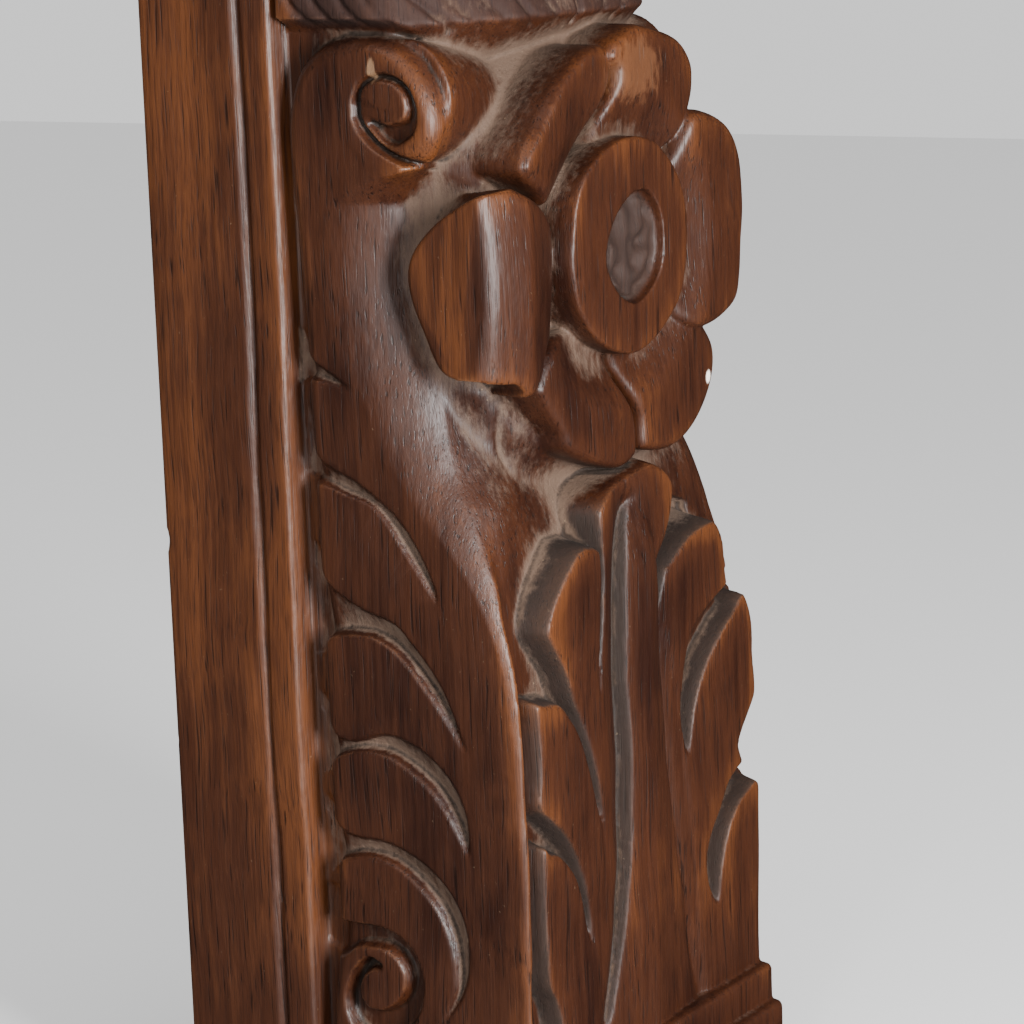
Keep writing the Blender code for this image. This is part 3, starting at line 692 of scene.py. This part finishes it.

# The wood. Dark red-brown hardwood with straight upright grain, waxed and
# handled for long, with edges rubbed to a warm tan and hollows full of
# grey-brown dust. The head above the lip is coloured darker, and painted shade
# darkens the sides of the leaves and the narrowest creases.
finish = bpy.data.materials.new("waxed_dark_hardwood")
finish.use_nodes = True
shader = finish.node_tree.nodes["Principled BSDF"]


class Tone:
    """A value in the wood's material, so that sums are written as sums."""

    def __init__(self, socket):
        self.socket = socket

    def add(self, kind, settings, values, output=0):
        node = finish.node_tree.nodes.new(kind)
        for name, value in settings.items():
            setattr(node, name, value)
        for name, value in values.items():
            if isinstance(value, Tone):
                finish.node_tree.links.new(value.socket, node.inputs[name])
            else:
                node.inputs[name].default_value = value
        return Tone(node.outputs[output])

    def maths(self, how, first, second):
        return self.add("ShaderNodeMath", {"operation": how}, {0: first, 1: second})

    def __add__(self, other):
        return self.maths("ADD", self, other)

    def __radd__(self, other):
        return self.maths("ADD", other, self)

    def __sub__(self, other):
        return self.maths("SUBTRACT", self, other)

    def __rsub__(self, other):
        return self.maths("SUBTRACT", other, self)

    def __mul__(self, other):
        return self.maths("MULTIPLY", self, other)

    def __rmul__(self, other):
        return self.maths("MULTIPLY", other, self)

    def between(self, low, high_end):
        """Nought below the first value, one above the second, eased between."""
        return self.add("ShaderNodeMapRange", {"interpolation_type": "SMOOTHSTEP"},
                        {"Value": self, "From Min": low, "From Max": high_end})

    def noise(self, stretch, detail=3.0, rough=0.55):
        """Random cloud of a given number of blots to the metre in each direction."""
        place = self.add("ShaderNodeVectorMath", {"operation": "MULTIPLY"}, {0: self, 1: stretch})
        return self.add("ShaderNodeTexNoise", {}, {"Vector": place, "Scale": 1.0, "Detail": detail,
                                                  "Roughness": rough})

    def tint(self, first, second):
        """One colour turning into another as this value goes from nought to one."""
        return self.add("ShaderNodeMix", {"data_type": "RGBA"}, {0: self, 6: first, 7: second}, 2)


here = Tone(None).add("ShaderNodeTexCoord", {}, {}, "Object")
drift = here.add("ShaderNodeVectorMath", {"operation": "SCALE"}, {0: here.add(
    "ShaderNodeTexNoise", {}, {"Vector": here, "Scale": 7.0, "Detail": 1.0}, 1), "Scale": 0.012})
grain = here.add("ShaderNodeVectorMath", {"operation": "ADD"}, {0: here, 1: drift})
hollow, worn, recess, proud, upward, sheltered, side_shade_share, channel_share, knob_stain = (
    here.add("ShaderNodeAttribute", {"attribute_name": name}, {}, "Fac") for name in marks)
height_up = here.add("ShaderNodeSeparateXYZ", {}, {0: here}, 2)

bands = grain.noise((70.0, 70.0, 2.2), 2.0)
streaks = grain.noise((330.0, 330.0, 9.0), 3.0)
fibre = grain.noise((1100.0, 1100.0, 34.0), 2.0)
pores = grain.noise((800.0, 800.0, 22.0), 1.0).between(0.60, 0.72)
mottle = here.noise((9.0, 9.0, 6.0), 4.0, 0.6)
blotch = here.noise((38.0, 38.0, 24.0), 3.0, 0.6)
crumbs = here.noise((420.0, 420.0, 420.0), 3.0, 0.6)
fuzz = grain.noise((240.0, 240.0, 90.0), 4.0, 0.7)


def spot(place, size, ragged=0.0):
    """A mark at one place, oval, one in its middle and nought outside."""
    away = here.add("ShaderNodeVectorMath", {"operation": "SUBTRACT"}, {0: here, 1: place})
    away = here.add("ShaderNodeVectorMath", {"operation": "DIVIDE"}, {0: away, 1: size})
    reach = here.add("ShaderNodeVectorMath", {"operation": "LENGTH"}, {0: away}, 1)
    return 1.0 - (reach + (fuzz - 0.5) * ragged).between(0.55, 1.0)


dark_brown = (0.0135, 0.0028, 0.0008, 1.0)
brown = (0.035, 0.0094, 0.0027, 1.0)
orange = (0.078, 0.0230, 0.0054, 1.0)
tan = (0.15, 0.062, 0.026, 1.0)
dust_grey = (0.098, 0.062, 0.042, 1.0)
# Painted shade: a near-black brown for the narrowest creases.
painted_crevice_shade = (0.010, 0.0055, 0.0032, 1.0)
speck = (0.30, 0.21, 0.12, 1.0)
pore_dark = (0.005, 0.0014, 0.0006, 1.0)
head_dark = (0.014, 0.0034, 0.0013, 1.0)
# Painted shade colour for the sides of the leaves.
side_shade_colour = (0.0135, 0.0078, 0.0048, 1.0)
knob_dark = (0.022, 0.012, 0.0085, 1.0)
chipped_pale = (0.75, 0.68, 0.60, 1.0)
scar_pale = (0.24, 0.14, 0.075, 1.0)

warmth = mottle + bands * 0.45 + streaks * 0.40 - 0.55 + proud * 0.60 + channel_share * 0.25
warmth = warmth.between(0.0, 0.95)
wood = (warmth * 2.0).between(0.0, 1.0).tint(dark_brown, brown)
wood = (warmth * 2.0 - 1.0).between(0.0, 1.0).tint(wood, orange)
wood = ((1.0 - fibre).between(0.45, 0.66) * 0.38).tint(wood, dark_brown)
wood = (pores * 0.75).tint(wood, pore_dark)
rubbed = (worn * 1.2 + fibre * 0.8 + blotch * 0.9 - 1.35).between(0.0, 0.9)
wood = (rubbed * 0.45).tint(wood, tan)
wood = (spot((0.018, -0.229, 0.208), (0.028, 0.03, 0.020), 1.6) * 0.35).tint(wood, tan)
# Everything above the lip of the head, except near the back board, is coloured darker.
head_darkened = height_up.between(0.236, 0.243) * (1.0 - channel_share)
wood = (head_darkened * 0.72).tint(wood, head_dark)
# Painted shade on the sides of the leaves.
wood = (side_shade_share * 0.8).tint(wood, side_shade_colour)
wood = (knob_stain * 0.65).tint(wood, knob_dark)
dust = (hollow * 0.5 + recess * 1.1 + sheltered * 0.75 + upward * 0.5 + blotch * 1.2 + fuzz * 1.5 - 2.05
        - worn - channel_share * 0.6).between(0.0, 1.0)
wood = (dust * 0.8).tint(wood, dust_grey)
# Painted shade: the narrowest creases, found by how hollow the surface is close up, are darkened nearly to
# black.
crevice_shade_share = (hollow * 1.6 + crumbs * 0.6 - 0.85 - channel_share * 0.35).between(0.0, 0.7)
wood = (crevice_shade_share * 0.85).tint(wood, painted_crevice_shade)
flecks = crumbs.between(0.70, 0.76) * (0.25 + dust * 0.75)
wood = (flecks * 0.6).tint(wood, speck)
wood = spot((0.088, -0.229, 0.025), (0.0034, 0.02, 0.0048), 0.4).tint(wood, chipped_pale)
wood = (spot((-0.130, -0.155, 0.216), (0.01, 0.0035, 0.008), 1.0) * 0.5).tint(wood, scar_pale)

shader.inputs["Specular IOR Level"].default_value = 0.36
gloss = 0.34 + streaks * 0.10 + (1.0 - fibre) * 0.12 + dust * 0.34 - rubbed * 0.08
gloss = gloss + side_shade_share * 0.38 + head_darkened * 0.34 + knob_stain * 0.3
tool_marks = here.noise((120.0, 120.0, 60.0), 2.0)
texture = (fibre * 0.00016 + streaks * 0.00030 + blotch * 0.0009 + tool_marks * 0.0005 - pores * 0.00012
           + crumbs * dust * 0.0005)
bump = here.add("ShaderNodeBump", {}, {"Strength": 0.85, "Distance": 1.0, "Height": texture})
for name, value in (("Base Color", wood), ("Roughness", gloss), ("Normal", bump)):
    finish.node_tree.links.new(value.socket, shader.inputs[name])
finished.materials.clear()
finished.materials.append(finish)

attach(bracket, "root")
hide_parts("corbel")

# The floor and the light. A plain pale floor lies under the bracket, with a tall
# soft light in front, a narrow one at the left for the sheen on the stem and a
# weak one above. Reflections leave the floor out and see the room dimly, so the
# wax doesn't look milky.
floor_mesh = bpy.data.meshes.new("floor")
floor_corners = [(x, y, -0.405) for x, y in ((-6, -6), (6, -6), (6, 6), (-6, 6))]
floor_mesh.from_pydata(floor_corners, [], [(0, 1, 2, 3)])
floor = bpy.data.objects.new("floor", floor_mesh)
bpy.context.scene.collection.objects.link(floor)
paper = bpy.data.materials.new("pale_paper")
paper.use_nodes = True
paper_shader = paper.node_tree.nodes["Principled BSDF"]
paper_shader.inputs["Base Color"].default_value = (0.86, 0.86, 0.86, 1.0)
paper_shader.inputs["Roughness"].default_value = 0.9
floor_mesh.materials.append(paper)
floor.visible_glossy = False
world = bpy.data.worlds.new("studio")
world.use_nodes = True
glow = world.node_tree.nodes["Background"]
glow.inputs["Color"].default_value = (1.0, 1.0, 1.0, 1.0)
path_kind = world.node_tree.nodes.new("ShaderNodeLightPath")
card = world.node_tree.nodes.new("ShaderNodeMapRange")
card.inputs["To Min"].default_value = 1.0
card.inputs["To Max"].default_value = 0.05
world.node_tree.links.new(path_kind.outputs["Is Glossy Ray"], card.inputs["Value"])
world.node_tree.links.new(card.outputs["Result"], glow.inputs["Strength"])
bpy.context.scene.world = world


def soft_light(name, place, aim, size, power):
    lamp = bpy.data.lights.new(name, "AREA")
    lamp.shape = "RECTANGLE"
    lamp.size, lamp.size_y = size
    lamp.energy = power
    holder = bpy.data.objects.new(name, lamp)
    holder.location = place
    holder.rotation_euler = (Vector(aim) - Vector(place)).to_track_quat("-Z", "Y").to_euler()
    bpy.context.scene.collection.objects.link(holder)


soft_light("front_softbox", (-0.90, -1.94, 0.30), (0, -0.15, 0.02), (0.42, 0.85), 116.0)
soft_light("side_softbox", (-1.90, -0.72, 0.20), (0, -0.15, 0.05), (0.22, 1.0), 12.0)
soft_light("top_softbox", (-0.9, -0.2, 1.7), (0, -0.15, 0.1), (1.0, 1.0), 8.0)

# The camera. It looks at the left flank and the front from the photograph's
# place: 57 degrees round, 11 degrees up, with a long lens and a slight roll.
around, rise, tilt = math.radians(-57.0), math.radians(11.0), math.radians(2.0)
back = Vector((math.sin(around) * math.cos(rise), -math.cos(around) * math.cos(rise), math.sin(rise)))
right = Vector((math.cos(around), math.sin(around), 0.0))
up = back.cross(right)
turned_right = right * math.cos(tilt) - up * math.sin(tilt)
turned_up = right * math.sin(tilt) + up * math.cos(tilt)
lens = bpy.data.cameras.new("camera")
lens.sensor_width = 36.0
lens.lens = 120.4
camera = bpy.data.objects.new("camera", lens)
looked_at, distance = Vector((-0.13, -0.23435, -0.015)), 1.81
place = looked_at + back * distance
camera.matrix_world = Matrix([
    [turned_right[i], turned_up[i], back[i], place[i]] for i in range(3)] + [[0, 0, 0, 1]])
bpy.context.scene.collection.objects.link(camera)
bpy.context.scene.camera = camera
